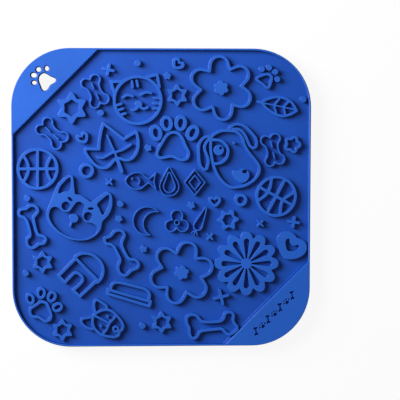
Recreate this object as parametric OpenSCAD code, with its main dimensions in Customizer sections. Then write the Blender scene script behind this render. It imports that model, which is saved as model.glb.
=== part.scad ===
// Square silicone lick mat for pets: a thin sheet with a low rim, two solid corners, suction cups
// below, and a raised pattern of faces, flowers, bones, paws and small marks on top.
// It lies flat with the pattern up. The origin is at the middle of the mat, on what it rests on.

/* [Mat] */
// Side of the square mat
mat_side = 210; // [195:1:240]
// Radius of the mat's round corners
corner_r = 41; // [36:0.5:46]
// Thickness of the sheet under the pattern
sheet_t = 2; // [1.2:0.1:4]
// Height of the rim, the solid corners and the pattern above the sheet
relief_h = 3; // [1.5:0.1:5]
// Width of the rim
rim_w = 1.5; // [1:0.1:1.9]

/* [Solid corners] */
// Leg of the top left corner, from the square's corner to the slanted edge
hang_leg = 61.8; // [58:0.1:64]
// Leg of the bottom right corner
grip_leg = 62.7; // [58:0.1:64]
// Size of the paw-shaped hole that the mat hangs by, across
hang_paw_w = 18.3; // [12:0.1:20]
// Width of the slope along the slanted edge of the bottom right corner
grip_slope_w = 1.3; // [0.6:0.1:2.4]
// Length of the row of sunk marks
sunk_row_l = 42; // [34:0.5:46]
// Height of the sunk marks
sunk_mark_h = 5.8; // [4:0.1:6.5]
// Depth of the sunk marks
sunk_depth = 1.2; // [0.5:0.1:1.8]

/* [Suction cups] */
// Diameter of a cup's lip
cup_d = 22; // [16:0.5:28]
// Height of a cup, from its lip to the sheet
cup_h = 4.5; // [3.5:0.1:7]
// Thickness of the lip
cup_lip_t = 0.7; // [0.4:0.1:1.2]
// Diameter of the neck that joins a cup to the sheet
cup_neck_d = 8; // [5:0.5:12]
// Distance between neighbouring cups
cup_pitch = 32; // [29:0.5:34]
// Cups along each side
cup_rows = 6; // [2:1:6]

/* [Relief lines] */
// Width of the ordinary raised lines
line_w = 2.1; // [1.5:0.1:2.3]
// Width of the lines of the leaves and the small paw
leaf_line_w = 1.9; // [1.3:0.1:2.2]
// Width of the lines of the small bones
thin_line_w = 1.2; // [0.8:0.1:1.6]
// Width of the lines of the outline figures in the middle
figure_line_w = 0.9; // [0.7:0.1:1.3]

/* [Animal faces] */
// Diameter of the round cat face
cat_d = 34.8; // [31:0.1:35]
// Height of the hound face, with its ears
hound_h = 44.5; // [40:0.1:45]
// Width of the puppy face, with its ears
puppy_w = 46.7; // [42:0.1:47]
// Width of the calf face, with its ears
calf_w = 29.5; // [26:0.1:31]

/* [Flowers and leaves] */
// Diameter of the two large flowers
flower_d = 46.6; // [42:0.1:47]
// Diameter of the solid blossom in the middle of a large flower
flower_core_d = 10.6; // [6:0.1:14]
// Diameter of the daisy
daisy_d = 45.8; // [41:0.1:46.3]
// Diameter of the daisy's hub
daisy_hub_d = 8.2; // [7.5:0.1:9]
// Diameter of the open five-petal blossom
ring_blossom_d = 13.1; // [11:0.1:13.5]
// Diameter of the small solid blossoms
blossom_d = 5.6; // [4:0.1:6.5]
// Height of the ivy leaf, with its stalk
ivy_h = 36.4; // [33:0.1:37]
// Length of the pointed leaf, with its stalk
leaf_l = 28.9; // [26:0.1:30]

/* [Bones] */
// Length of the long bone at the left edge
left_bone_l = 32.3; // [29:0.1:33]
// Length of the long bone in the middle
middle_bone_l = 36.1; // [32:0.1:37]
// Length of the long bone at the bottom
bottom_bone_l = 38.2; // [34:0.1:38.5]
// Length of the small bones
small_bone_l = 23.1; // [19:0.1:24]

/* [Paws] */
// Width of the large paw
large_paw_w = 35.2; // [32:0.1:36]
// Width of the middle-sized paw
middle_paw_w = 26.7; // [24:0.1:28]
// Width of the small paw
small_paw_w = 17.4; // [15:0.1:19]

/* [Balls, kennel and comb] */
// Diameter of the two balls
ball_d = 29.4; // [27:0.1:30]
// Width of the kennel, from its foot to its round roof
kennel_w = 31.9; // [29:0.1:33]
// Length of the comb
comb_l = 32.6; // [29:0.1:33.5]

/* [Hearts, stars, rings and marks] */
// Width of the large heart
large_heart_w = 20.9; // [19:0.1:21.5]
// Width of the small hearts
small_heart_w = 9.3; // [7:0.1:10.5]
// Diameter of the stars over their points
star_d = 15.7; // [13:0.1:16.5]
// Diameter of the large star
large_star_d = 22.4; // [19:0.1:23]
// Diameter of the left ring
left_ring_d = 10.8; // [9:0.1:11.3]
// Diameter of the right ring
right_ring_d = 9.3; // [8:0.1:12]
// Width of the rings' walls
ring_wall_w = 2.3; // [1.2:0.1:2.8]
// Diameter of the dots
dot_d = 4.5; // [3:0.1:5]
// Length of the crosses
cross_l = 9; // [6:0.1:10]
// Length of the large cross
large_cross_l = 12.2; // [9:0.1:13]
// Length of the small slanted crosses
slant_cross_l = 6.4; // [4:0.1:7]
// Width of the small slanted crosses' arms
slant_cross_w = 1.5; // [1:0.1:2]

/* [Outline figures] */
// Length of the fish
fish_l = 22; // [18:0.1:23]
// Height of the drop
drop_h = 20; // [16:0.1:21]
// Height of the lozenge
lozenge_h = 18; // [14:0.1:19]
// Height of the crescent
crescent_h = 20; // [16:0.1:21]
// Diameter of the trefoil
trefoil_d = 18; // [14:0.1:19]
// Length of the carrot, with its leaves
carrot_l = 22; // [18:0.1:23]
// Distance between the two lines of the figures that have two
figure_gap = 2.6; // [1.6:0.1:3.4]

/* [Hidden] */
silicone = "#2558C4";

relief_z = cup_h + sheet_t;
top_z = relief_z + relief_h;
// Share of the mat's side that a millimetre is on the mat whose figures have the sizes given above
mm_share = 1 / 210;
// What the figures, the corners and the cups' places grow by on a larger mat
fit = mat_side * mm_share;
round_r = corner_r * fit;
full_turn = 360;
overrun = 1;
// Parts that each stretch between two points of a curve is divided into
curve_steps = 2;
// Turn past which a line gets a round outer corner
corner_turn = 25;
// Angle between the points of round ends and corners
round_step = 36;

// Picture coordinates: pixels, with x to the right and y down.
// The mat's square in them, from its top left corner clockwise, and its mean side
square_px = [[10.5, 47.1], [311.4, 48.3], [307.8, 344.6], [13, 347.1]];
side_px = 298;

star_px = [[177.1, 95.1], [42.5, 262.4], [227.7, 219.8], [62.4, 330], [161.2, 322.2]];
star_turn = [0, 0, 34, 0, 0];
large_star_px = [71.6, 107.9];
cross_px = [[108.3, 69.3], [292.9, 222.1]];
cross_turn = [-12, -8];
large_cross_px = [220.4, 296.8];
large_cross_turn = 13.5;
slant_cross_px = [[109.1, 181.9], [209.4, 236.7], [259.5, 223.4]];
small_heart_px = [[177.7, 63.6], [82.7, 137.9], [214.3, 201.3]];
small_heart_turn = [-42, 32, 2];
blossom_px = [[167.3, 75.7], [147.9, 147.8], [118.7, 218.9], [143.2, 249.1], [190.9, 205.4]];
blossom_turn = [0, 20, 40, 10, 30];
dot_px = [[137.6, 62.8], [100.7, 112.7], [302.8, 99.3], [27.1, 198.3], [120.2, 204], [25.8, 273.3],
    [142, 325.7]];
small_bone_px = [[94.9, 90.9], [51.9, 133.2], [272.2, 149.9]];
small_bone_turn = [24.1, 46.9, 12.7];
small_bone_names = ["small_bone_top", "small_bone_left", "small_bone_right"];

// From the picture to the mat: the rows of the map from the unit square to the picture's square,
// and its inverse's columns. A place comes out as shares of the mat's side, from its top left.
near_px = square_px[1] - square_px[2];
far_px = square_px[3] - square_px[2];
skew_px = square_px[0] - square_px[1] + square_px[2] - square_px[3];
tilt_x = cross(skew_px, far_px) / cross(near_px, far_px);
tilt_y = cross(near_px, skew_px) / cross(near_px, far_px);
along_px = square_px[1] - square_px[0] + tilt_x * square_px[1];
down_px = square_px[3] - square_px[0] + tilt_y * square_px[3];
row_x = [along_px.x, down_px.x, square_px[0].x];
row_y = [along_px.y, down_px.y, square_px[0].y];
row_w = [tilt_x, tilt_y, 1];
col_x = cross(row_y, row_w);
col_y = cross(row_w, row_x);
col_w = cross(row_x, row_y);

function divided(v) = [v.x / v.z, v.y / v.z];
function mat_share(p) = divided(col_x * p.x + col_y * p.y + col_w);
function up(v) = [v.x, -v.y];
// Where a point of the picture lies on the mat
function place(p) = up(mat_share(p) - [1, 1] / 2) * mat_side;
// A figure drawn in the picture, at its own size: spot holds its middle and its span in pixels
function drawn(points, spot, size) =
    [for (p = points) place(spot) + up(mat_share(p) - mat_share(spot)) * side_px * fit * size / spot.z];
// One length of a figure, from pixels to its own size
function sized(length_px, spot, size) = length_px * fit * size / spot.z;

function unit(v) = v / norm(v);
function normal(a, b) = unit([a.y - b.y, b.x - a.x]);
function arc(middle, r, from, to, steps) =
    [for (i = [0 : steps]) let (a = from + (to - from) * i / steps) middle + r * [cos(a), sin(a)]];
function turned(points, angle, middle = [0, 0]) =
    [for (p = points) middle + [p.x * cos(angle) - p.y * sin(angle), p.x * sin(angle) + p.y * cos(angle)]];
function area(points) = let (n = len(points))
    [for (i = [0 : n - 1]) cross(points[i], points[(i + 1) % n]) / 2] * [for (i = [1 : n]) 1];

// A smooth curve through points. A point written twice is a corner.
function between(a, b, c, d, t) = b + t * (c - a) / 2
    + t * t * (2 * a - 5 * b + 4 * c - d) / 2
    + t * t * t * (3 * b - a - 3 * c + d) / 2;
function smooth(points, closed = false) = let (n = len(points)) [
    for (i = [0 : closed ? n - 1 : n - 2])
        let (b = points[i], c = points[(i + 1) % n],
             a = closed ? points[(i + n - 1) % n] : points[max(i - 1, 0)],
             d = closed ? points[(i + 2) % n] : points[min(i + 2, n - 1)])
        if (b != c) for (s = [0 : curve_steps - 1]) between(a, b, c, d, s / curve_steps),
    if (!closed) points[n - 1]
];

// The line at distance d to the left of points, with round outer and sharp inner corners
function beside(points, d, closed) = let (n = len(points)) [
    for (i = [0 : n - 1])
        let (p = points[i],
             before = closed || i > 0 ? normal(points[(i + n - 1) % n], p) : normal(p, points[1]),
             after = closed || i < n - 1 ? normal(p, points[(i + 1) % n]) : before,
             bend = atan2(cross(before, after), before * after),
             steps = bend * sign(d) < -corner_turn ? ceil(abs(bend) / round_step) : 0)
        for (s = [0 : steps])
            steps == 0
                ? p + d * (before + after) / (1 + before * after)
                : p + d * turned([before], bend * s / steps)[0]
];
function backwards(points) = [for (i = [len(points) - 1 : -1 : 0]) points[i]];
function cap(a, b, w) = let (side = normal(a, b), steps = ceil(180 / round_step))
    [for (s = [1 : steps - 1]) b + w / 2 * turned([side], -180 * s / steps)[0]];
// The outline of an open line of width w with round ends
function band(points, w) = let (n = len(points)) concat(
    beside(points, w / 2, false),
    cap(points[n - 2], points[n - 1], w),
    backwards(beside(points, -w / 2, false)),
    cap(points[1], points[0], w));

module band(points, w) {
    polygon(band(points, w));
}

module loop(points, w) {
    out = area(points) > 0 ? -w / 2 : w / 2;
    difference() {
        polygon(beside(points, out, true));
        polygon(beside(points, -out, true));
    }
}

module raised() {
    color(silicone) translate([0, 0, relief_z]) linear_extrude(relief_h) children();
}

function oval(middle, half, angle, steps) = turned(
    [for (i = [0 : steps - 1]) let (a = full_turn * i / steps) [half.x * cos(a), half.y * sin(a)]],
    angle, middle);

// Petals round a middle: arcs of radius petal_r round points at reach, joined at valleys
function petals(count, valley_r, reach, petal_r, angle, middle, steps) =
    let (valley = valley_r * [cos(180 / count), sin(180 / count)],
         gap = valley - [reach, 0],
         sweep = atan2(gap.y, gap.x) - acos(petal_r / norm(gap)))
    [for (k = [0 : count - 1]) each turned(
        concat(arc([reach, 0], petal_r, -sweep, sweep, steps), [valley]),
        angle + full_turn * k / count, middle)];

// A drop between two round ends on the x axis
function teardrop(x1, r1, x2, r2, steps) = let (lean = acos((r1 - r2) / (x2 - x1)))
    concat(arc([x2, 0], r2, -lean, lean, steps + 2), arc([x1, 0], r1, lean, full_turn - lean, steps));

// The sheet and what carries it

module rounded_square(side, r) {
    difference() {
        square(side, center = true);
        for (a = [0 : 90 : 270]) rotate(a)
            translate([side / 2 - r, side / 2 - r]) difference() {
                square(r + overrun);
                circle(r = r, $fn = 96);
            }
    }
}

// The half of the plane beyond the slanted edge of a corner: sign 1 top left, -1 bottom right
module beyond(full_leg, sign) {
    leg = full_leg * fit;
    polygon(sign * [
        [-mat_side / 2 - overrun, mat_side / 2 - leg - overrun],
        [-mat_side / 2 + leg + overrun, mat_side / 2 + overrun],
        [-mat_side / 2 - overrun, mat_side / 2 + overrun]]);
}

module mat_sheet() {
    color(silicone) translate([0, 0, cup_h]) linear_extrude(sheet_t) difference() {
        rounded_square(mat_side, round_r);
        beyond(hang_leg, 1);
        beyond(grip_leg, -1);
    }
}

module rims() {
    difference() {
        rounded_square(mat_side, round_r);
        rounded_square(mat_side - 2 * rim_w, round_r - rim_w);
        beyond(hang_leg, 1);
        beyond(grip_leg, -1);
    }
}

module rim_right() {
    raised() intersection() {
        rims();
        polygon(mat_side * [[-1, 1], [1, 1], [1, -1]]);
    }
}

module rim_left() {
    raised() intersection() {
        rims();
        polygon(mat_side * [[-1, 1], [1, -1], [-1, -1]]);
    }
}

cup_r = cup_d / 2;
cup_neck_r = cup_neck_d / 2;
cup_neck_share = 0.36;
cup_hollow_share = 0.55;

module cup() {
    neck_z = cup_h * (1 - cup_neck_share);
    hollow_z = cup_h * cup_hollow_share;
    rotate_extrude($fn = 72) polygon([
        [0, cup_h], [cup_neck_r, cup_h], [cup_neck_r, neck_z], [cup_r, cup_lip_t], [cup_r, 0],
        [cup_r - cup_lip_t, 0], [cup_neck_r, hollow_z - cup_lip_t / 2], [0, hollow_z]]);
}

module suction_cups() {
    last = (cup_rows - 1) / 2;
    color(silicone) for (i = [-last : last], j = [-last : last])
        if (abs(i) + abs(j) < 2 * last - 0.5) translate([i, j] * cup_pitch * fit) cup();
}

hang_paw_px = [45.2, 78, 26];
hang_toes_px = [[46.6, 68], [38.3, 69], [33.6, 74.8], [34, 82.4]];
hang_toe_halves_px = [[2.8, 3.2], [3.1, 3.1], [3.6, 3.1], [3.1, 2.7]];
hang_pad_px = [[43.9, 72], [47.1, 73.3], [50.1, 75.2], [55.4, 77.6], [56.2, 80], [54.6, 82.7],
    [50.3, 85.1], [48.7, 88], [46.6, 90.4], [44.2, 91.2], [41.8, 90.1], [40.5, 87.5], [39.1, 83.7],
    [37.8, 80], [38.3, 76.3], [40.5, 73.3]];

module hanging_corner() {
    color(silicone) translate([0, 0, cup_h]) linear_extrude(sheet_t + relief_h) difference() {
        intersection() {
            rounded_square(mat_side, round_r);
            beyond(hang_leg, 1);
        }
        polygon(smooth(drawn(hang_pad_px, hang_paw_px, hang_paw_w), true));
        for (i = [0 : len(hang_toes_px) - 1]) polygon(oval(
            drawn([hang_toes_px[i]], hang_paw_px, hang_paw_w)[0],
            [for (h = hang_toe_halves_px[i]) sized(h, hang_paw_px, hang_paw_w)], 0, 14));
    }
}

// The block beyond the slanted edge of the bottom right corner, with the slope along that edge
module sloped_block() {
    edge = (mat_side - grip_leg * fit) / sqrt(2);
    rotate([90, 0, -45]) translate([0, 0, -mat_side]) linear_extrude(2 * mat_side) polygon([
        [edge, cup_h], [edge, relief_z], [edge + grip_slope_w, top_z],
        [mat_side, top_z], [mat_side, cup_h]]);
}

// Sunk marks along the bottom right corner: small bones and small paws in turn
sunk_middle_px = [273, 313];
sunk_count = 7;
sunk_bar_share = 0.16;
sunk_knob_share = 0.135;
sunk_knob_x_share = 0.38;
sunk_knob_y_share = 0.125;
sunk_bone_turn = 55;
sunk_pad_share = 0.22;
sunk_pad_y_share = -0.2;
sunk_toe_share = 0.095;
sunk_toe_reach_share = 0.42;
sunk_toe_turns = [20, 67, 113, 160];

module sunk_bone(h) {
    square([2 * h * sunk_knob_x_share, h * sunk_bar_share], center = true);
    for (x = [-1, 1], y = [-1, 1]) translate([x * h * sunk_knob_x_share, y * h * sunk_knob_y_share])
        circle(r = h * sunk_knob_share, $fn = 24);
}

module sunk_paw(h) {
    translate([0, h * sunk_pad_y_share]) {
        circle(r = h * sunk_pad_share, $fn = 24);
        for (a = sunk_toe_turns) translate(h * sunk_toe_reach_share * [cos(a), sin(a)])
            circle(r = h * sunk_toe_share, $fn = 16);
    }
}

module grip_corner() {
    color(silicone) difference() {
        intersection() {
            translate([0, 0, cup_h]) linear_extrude(sheet_t + relief_h) rounded_square(mat_side, round_r);
            sloped_block();
        }
        translate(concat(place(sunk_middle_px), top_z - sunk_depth)) rotate(45) linear_extrude(relief_h)
            for (i = [0 : sunk_count - 1])
                translate([(sunk_row_l - sunk_mark_h) * fit * (i / (sunk_count - 1) - 1 / 2), 0]) {
                    if (i % 2 == 0) rotate(sunk_bone_turn) sunk_bone(sunk_mark_h * fit);
                    else sunk_paw(sunk_mark_h * fit);
                }
    }
}

// Animal faces

cat_px = [137.6, 100, 49.4];
cat_ears_px = [
    [[146, 77], [157.1, 74.1], [157.1, 74.1], [159.3, 86.5]],
    [[122, 81.1], [110.8, 81.3], [110.8, 81.3], [114.7, 94]]];
cat_lines_px = [
    [[131.8, 81], [132.6, 87]], [[136.7, 80.4], [137.7, 86]],
    [[122.9, 97.2], [127, 94.6], [132.7, 96]], [[140.6, 94.6], [145.6, 91.9], [151, 92.8]],
    [[136.9, 108.1], [133.7, 110], [131.6, 109.6]], [[141, 107.6], [143.9, 108.6], [147.6, 107.2]],
    [[115.3, 105.3], [121.3, 103.6]], [[116.9, 110.3], [123.1, 108.4]], [[119.7, 114.8], [125.5, 113.2]],
    [[160.2, 98], [153.8, 97.6]], [[160.2, 103.2], [153.4, 103.2]], [[158.8, 108], [152.8, 108.4]]];
cat_nose_px = [138.5, 104.1];
cat_nose_r_px = 3.7;
cat_lines_w_share = 0.9;

module cat_ring() {
    translate(place(cat_px)) difference() {
        circle(d = cat_d * fit, $fn = 96);
        circle(d = cat_d * fit - 2 * line_w, $fn = 96);
    }
}

module cat_face() {
    raised() {
        cat_ring();
        for (ear = cat_ears_px) band(smooth(drawn(ear, cat_px, cat_d)), line_w);
    }
}

// Eyes, nose, mouth, whiskers and stripes
module cat_features() {
    raised() difference() {
        union() {
            for (mark = cat_lines_px) band(smooth(drawn(mark, cat_px, cat_d)), line_w * cat_lines_w_share);
            translate(drawn([cat_nose_px], cat_px, cat_d)[0])
                circle(r = sized(cat_nose_r_px, cat_px, cat_d), $fn = 32);
        }
        cat_ring();
    }
}

hound_px = [227.8, 156.2, 63.2];
hound_head_px = [[211.3, 136.5], [216.1, 132.8], [222, 130.4], [229.5, 130.7], [234.8, 131.2], [239.1, 133.9],
    [242.3, 138.7], [243.9, 144.5], [247.6, 151.5], [252.9, 157.9], [257.7, 164.3], [259.1, 170.7],
    [256.1, 177.1], [250.3, 182.4], [242.8, 186.1], [234.8, 187.2], [230.5, 187.2], [225.2, 184.5],
    [219.9, 179.2], [215.6, 172.3], [212.9, 164.8], [211.3, 156.8], [210.3, 149.3], [210.4, 142.9]];
hound_ears_px = [
    [[211.6, 136.6], [206, 136.5], [201.7, 139.2], [198.5, 145.1], [198.3, 152.5], [198.8, 160.5],
     [200.1, 166.4], [203.9, 169.6], [206.4, 168.4]],
    [[206.4, 168.4], [208.1, 162.1], [207.1, 156.8], [204.9, 151.5], [204.1, 147.2], [205.5, 142.9],
     [208.1, 139.7], [210.6, 138.6]],
    [[228.2, 130.2], [231, 126.3], [234.8, 124], [240.1, 124.3], [245.5, 126.9], [250.8, 132.3], [255.1, 138.1],
     [256.4, 142.9], [255.3, 146.7], [252.8, 148.1]],
    [[252.8, 148.1], [249.7, 146.1], [247.1, 140.8], [244.9, 135.5], [241.7, 131.2], [237.5, 128.8],
     [232.8, 129.1]]];
hound_patch_px = [[212.9, 139.7], [218.3, 140], [223.3, 142.4], [227, 147.2], [227.8, 151.7], [226.7, 156.7],
    [223.5, 161], [218.8, 163.3], [214.5, 163.7]];
hound_eye_px = [218.3, 150.1];
hound_eye_r_px = 5.3;
hound_glint_px = [220.4, 148.1];
hound_glint_r_px = 1.4;
hound_bead_px = [233.7, 142.9];
hound_nose_px = [[231.9, 173], [233.5, 170.2], [236.6, 170.4], [239.4, 169.8], [242, 168.5], [245.8, 169],
    [248.6, 172.2], [249.1, 176.2], [247.1, 180.2], [243.4, 182.7], [238.8, 182.4],
    [234.8, 179.6], [232.5, 176.4]];
hound_nostril_px = [244.3, 171.5];
hound_nostril_half_px = [2.6, 1.8];

module hound_face() {
    raised() {
        loop(smooth(drawn(hound_head_px, hound_px, hound_h), true), line_w);
        for (side = hound_ears_px) band(smooth(drawn(side, hound_px, hound_h)), line_w);
        band(smooth(drawn(hound_patch_px, hound_px, hound_h)), line_w);
        difference() {
            translate(drawn([hound_eye_px], hound_px, hound_h)[0])
                circle(r = sized(hound_eye_r_px, hound_px, hound_h), $fn = 48);
            translate(drawn([hound_glint_px], hound_px, hound_h)[0])
                circle(r = sized(hound_glint_r_px, hound_px, hound_h), $fn = 24);
        }
        translate(drawn([hound_bead_px], hound_px, hound_h)[0])
            circle(r = sized(hound_glint_r_px, hound_px, hound_h), $fn = 24);
        difference() {
            polygon(smooth(drawn(hound_nose_px, hound_px, hound_h), true));
            polygon(oval(drawn([hound_nostril_px], hound_px, hound_h)[0],
                [for (h = hound_nostril_half_px) sized(h, hound_px, hound_h)], 0, 14));
        }
    }
}

puppy_px = [79.2, 208, 66.2];
puppy_head_px = [[53.3, 194.3], [57, 184.3], [63.7, 177.9], [69, 175], [73, 176.3], [73.8, 184.3],
    [74.9, 194.3], [74.9, 194.3], [79.7, 194.8], [85.3, 198], [90.7, 202.3], [90.7, 202.3], [97.6, 198],
    [103.5, 193.7], [107.2, 191.6], [109.9, 193.2], [112, 196.9], [112.3, 204.4], [110.9, 210.3],
    [107.7, 216.1], [103.7, 219.9], [101.7, 223.2], [101.1, 228.6], [97.9, 233.5], [92.5, 237.8],
    [86, 240.4], [77.4, 240.7], [69.2, 239.2], [61.5, 235.3], [54.6, 230.5], [49.3, 224.7], [46.1, 218.3],
    [46.6, 211.3], [49.8, 204.4]];
puppy_holes_px = [
    [[58.3, 192.3], [60.5, 186], [68.5, 177.9], [70.6, 179], [70.3, 190.7], [65, 191.2], [59.5, 193.6]],
    [[97.1, 203.9], [107.2, 195.1], [109.1, 196.9], [108.8, 204.4], [106.7, 209.7], [102.9, 215.1],
     [100.3, 211.3], [98.7, 207.6]],
    [[50.3, 209.7], [53, 207.3], [56.2, 207.1], [59.4, 208.7], [61.5, 210.8], [65.3, 212.1], [69, 211.9],
     [71.7, 208.7], [74.3, 204.9], [76.5, 202.5], [79.1, 201.7], [82.3, 203.3], [84.4, 205.7], [83.4, 211.3],
     [82.3, 215.6], [83.4, 219.9], [85.3, 222], [91.2, 223.2], [95.1, 225], [97.3, 228.6], [96.3, 233],
     [91.5, 236.7], [86, 238.3], [80.5, 238.8], [74.6, 238.2], [66.3, 235.6], [58.3, 230.8], [53, 224.7],
     [50.3, 220.4], [49, 215.6]]];
puppy_eyes_px = [[65.8, 206], [88, 216.4]];
puppy_eye_r_px = 4.2;
puppy_brows_px = [[70.2, 199.2], [90.7, 208.7]];
puppy_brow_half_px = [3, 1.3];
puppy_brow_turn = [-42, 0];
puppy_nose_px = [73.8, 218.3];
puppy_nose_r_px = 4.5;
puppy_lip_px = [[72.6, 219.5], [70.1, 226.4]];
puppy_lip_w_share = 0.7;

module puppy_face() {
    raised() {
        difference() {
            polygon(smooth(drawn(puppy_head_px, puppy_px, puppy_w), true));
            for (hole = puppy_holes_px) polygon(smooth(drawn(hole, puppy_px, puppy_w), true));
            for (eye = puppy_eyes_px) translate(drawn([eye], puppy_px, puppy_w)[0])
                circle(r = sized(puppy_eye_r_px, puppy_px, puppy_w), $fn = 32);
            for (i = [0, 1]) polygon(oval(drawn([puppy_brows_px[i]], puppy_px, puppy_w)[0],
                [for (h = puppy_brow_half_px) sized(h, puppy_px, puppy_w)], puppy_brow_turn[i], 14));
        }
        translate(drawn([puppy_nose_px], puppy_px, puppy_w)[0])
            circle(r = sized(puppy_nose_r_px, puppy_px, puppy_w), $fn = 32);
        band(drawn(puppy_lip_px, puppy_px, puppy_w), line_w * puppy_lip_w_share);
    }
}

calf_px = [102, 318.5, 41.8];
calf_head_px = [[96, 313.2], [101.3, 310.3], [107.7, 309.7], [113.1, 312.1], [117.3, 316.4], [121.1, 321.2],
    [122.9, 326], [121.6, 329.6], [119.2, 331.5], [118.3, 335], [115.3, 336.7], [112, 336.7],
    [106.7, 336.1], [101.3, 334.5], [97.1, 331.3], [93.9, 327.6], [92.5, 323.3], [92.5, 319.1],
    [93.6, 315.6]];
calf_ears_px = [
    [[95, 313], [93.6, 305.2], [94.9, 300.9], [97.6, 299.9], [101.3, 302.5], [106.1, 305.7], [106.6, 309.7]],
    [[93.2, 316.9], [88, 317.5], [82.7, 318.5], [81.1, 320.7], [82.1, 323.9], [86.9, 327.6], [92.6, 329]]];
calf_lines_px = [
    [[93.8, 315.2], [107.7, 322.3]],
    [[115.7, 314.3], [114.1, 318], [109.9, 322.3], [107.7, 326.5], [106.1, 330.3], [102.4, 334]],
    [[117.3, 330.9], [118.8, 332.3]]];
calf_lines_w_share = 0.85;
calf_eyes_px = [[107.5, 316.4], [100.8, 326]];
calf_eye_r_px = 1.5;
calf_nose_px = [115.5, 328.9];
calf_nose_r_px = 3.7;
calf_nostril_r_px = 1.3;

module calf_face() {
    raised() {
        loop(smooth(drawn(calf_head_px, calf_px, calf_w), true), leaf_line_w);
        for (ear = calf_ears_px) band(smooth(drawn(ear, calf_px, calf_w)), leaf_line_w);
        for (mark = calf_lines_px)
            band(smooth(drawn(mark, calf_px, calf_w)), leaf_line_w * calf_lines_w_share);
        for (eye = calf_eyes_px) translate(drawn([eye], calf_px, calf_w)[0])
            circle(r = sized(calf_eye_r_px, calf_px, calf_w), $fn = 24);
        translate(drawn([calf_nose_px], calf_px, calf_w)[0]) difference() {
            circle(r = sized(calf_nose_r_px, calf_px, calf_w), $fn = 32);
            circle(r = sized(calf_nostril_r_px, calf_px, calf_w), $fn = 24);
        }
    }
}

// Flowers and leaves

flower_valley_share = 0.306;
flower_reach_share = 0.342;
flower_petal_share = 0.135;
core_valley_share = 0.37;
core_reach_share = 0.32;
core_petal_share = 0.18;

module large_flower(spot, angle) {
    d = flower_d * fit;
    core = flower_core_d * fit;
    raised() {
        loop(petals(6, flower_valley_share * d, flower_reach_share * d, flower_petal_share * d,
            angle, place(spot), 10), line_w);
        polygon(petals(6, core_valley_share * core, core_reach_share * core, core_petal_share * core,
            angle, place(spot), 6));
    }
}

// The upper and the lower large flower
large_flower_px = [[221, 87.8], [181.1, 272.7]];
large_flower_turn = [95, 74.9];

module flower_top() {
    large_flower(large_flower_px[0], large_flower_turn[0]);
}

module flower_bottom() {
    large_flower(large_flower_px[1], large_flower_turn[1]);
}

daisy_px = [245.7, 263.5];
daisy_petals = 12;
daisy_valley_share = 0.399;
daisy_reach_share = 0.416;
daisy_petal_share = 0.084;
daisy_slot_share = 0.346;
daisy_slot_r_share = 0.042;
daisy_narrow_r_share = 0.011;

module daisy() {
    d = daisy_d * fit;
    raised() difference() {
        polygon(petals(daisy_petals, daisy_valley_share * d, daisy_reach_share * d,
            daisy_petal_share * d, 90, place(daisy_px), 6));
        for (k = [0 : daisy_petals - 1]) polygon(turned(
            teardrop(daisy_hub_d * fit / 2, daisy_narrow_r_share * d,
                daisy_slot_share * d, daisy_slot_r_share * d, 4),
            90 + full_turn * k / daisy_petals, place(daisy_px)));
    }
}

ring_blossom_px = [291.9, 144.3];
ring_blossom_turn = -4;
ring_blossom_valley_share = 0.3;
ring_blossom_reach_share = 0.29;
ring_blossom_petal_share = 0.125;

module ring_blossom() {
    d = ring_blossom_d * fit;
    raised() loop(petals(5, ring_blossom_valley_share * d, ring_blossom_reach_share * d,
        ring_blossom_petal_share * d, ring_blossom_turn, place(ring_blossom_px), 6), line_w);
}

blossom_valley_share = 0.34;
blossom_reach_share = 0.31;
blossom_petal_share = 0.19;

module blossoms() {
    d = blossom_d * fit;
    raised() for (i = [0 : len(blossom_px) - 1])
        polygon(petals(5, blossom_valley_share * d, blossom_reach_share * d, blossom_petal_share * d,
            90 + blossom_turn[i], place(blossom_px[i]), 4));
}

leaf_px = [277.3, 106.2, 41];
leaf_edge_px = [[261.5, 102.1], [261.5, 102.1], [266.8, 98.9], [275.3, 96.7], [282.8, 97.5], [289.7, 101],
    [293.5, 105.3], [296.2, 110.6], [296.2, 110.6], [290.3, 114.1], [282.8, 115.9], [275.3, 114.3],
    [269.5, 110.6], [265.2, 107.4]];
leaf_lines_px = [[[257.8, 101.6], [262.3, 102.5]], [[262.3, 102.7], [278.8, 106.1], [294.8, 109.5]],
    [[274.3, 104.8], [279.2, 98.4]], [[273.5, 105], [275.9, 112.8]],
    [[283.6, 106.6], [288.5, 101.4]], [[283.3, 107.2], [284.9, 114.2]]];
leaf_lines_w_share = [1.1, 0.6, 0.75, 0.75, 0.75, 0.75];

module pointed_leaf() {
    raised() {
        loop(smooth(drawn(leaf_edge_px, leaf_px, leaf_l), true), leaf_line_w);
        for (i = [0 : len(leaf_lines_px) - 1])
            band(smooth(drawn(leaf_lines_px[i], leaf_px, leaf_l)), leaf_line_w * leaf_lines_w_share[i]);
    }
}

ivy_px = [111.6, 147.3, 51.6];
ivy_edge_px = [[103.4, 123.4], [103.4, 123.4], [123.7, 139.3], [123.7, 139.3], [128, 136.3],
    [136.1, 131.7], [136.1, 131.7], [137.9, 139], [138.1, 145.9], [136.5, 152.3], [133.3, 157.1],
    [129.1, 159.8], [123.7, 159.8], [119.5, 158.2], [116.8, 158.7], [113.6, 160.3], [110.4, 164.6],
    [106.7, 167.5], [101.3, 167.8], [96, 165.7], [90.7, 160.3], [86.4, 154.5], [85.1, 150.9], [86.6, 148.8],
    [90.7, 148.9], [98.9, 149.1],
    [98.9, 149.1], [99.2, 141.7], [100.3, 135.3], [101.4, 129.6]];
ivy_lines_px = [[[107, 135.4], [112, 147], [114.7, 152.3], [116.8, 158.7]],
    [[114.1, 151.8], [108.8, 154.5], [102.9, 157.8], [97.4, 157.4]],
    [[114.7, 152.3], [122.7, 149.7], [128, 146.5], [130.9, 144.4]],
    [[116.8, 158.7], [119.4, 165.4], [121.6, 171.4]]];
ivy_lines_w_share = [0.75, 0.85, 0.85, 1.25];

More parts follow.
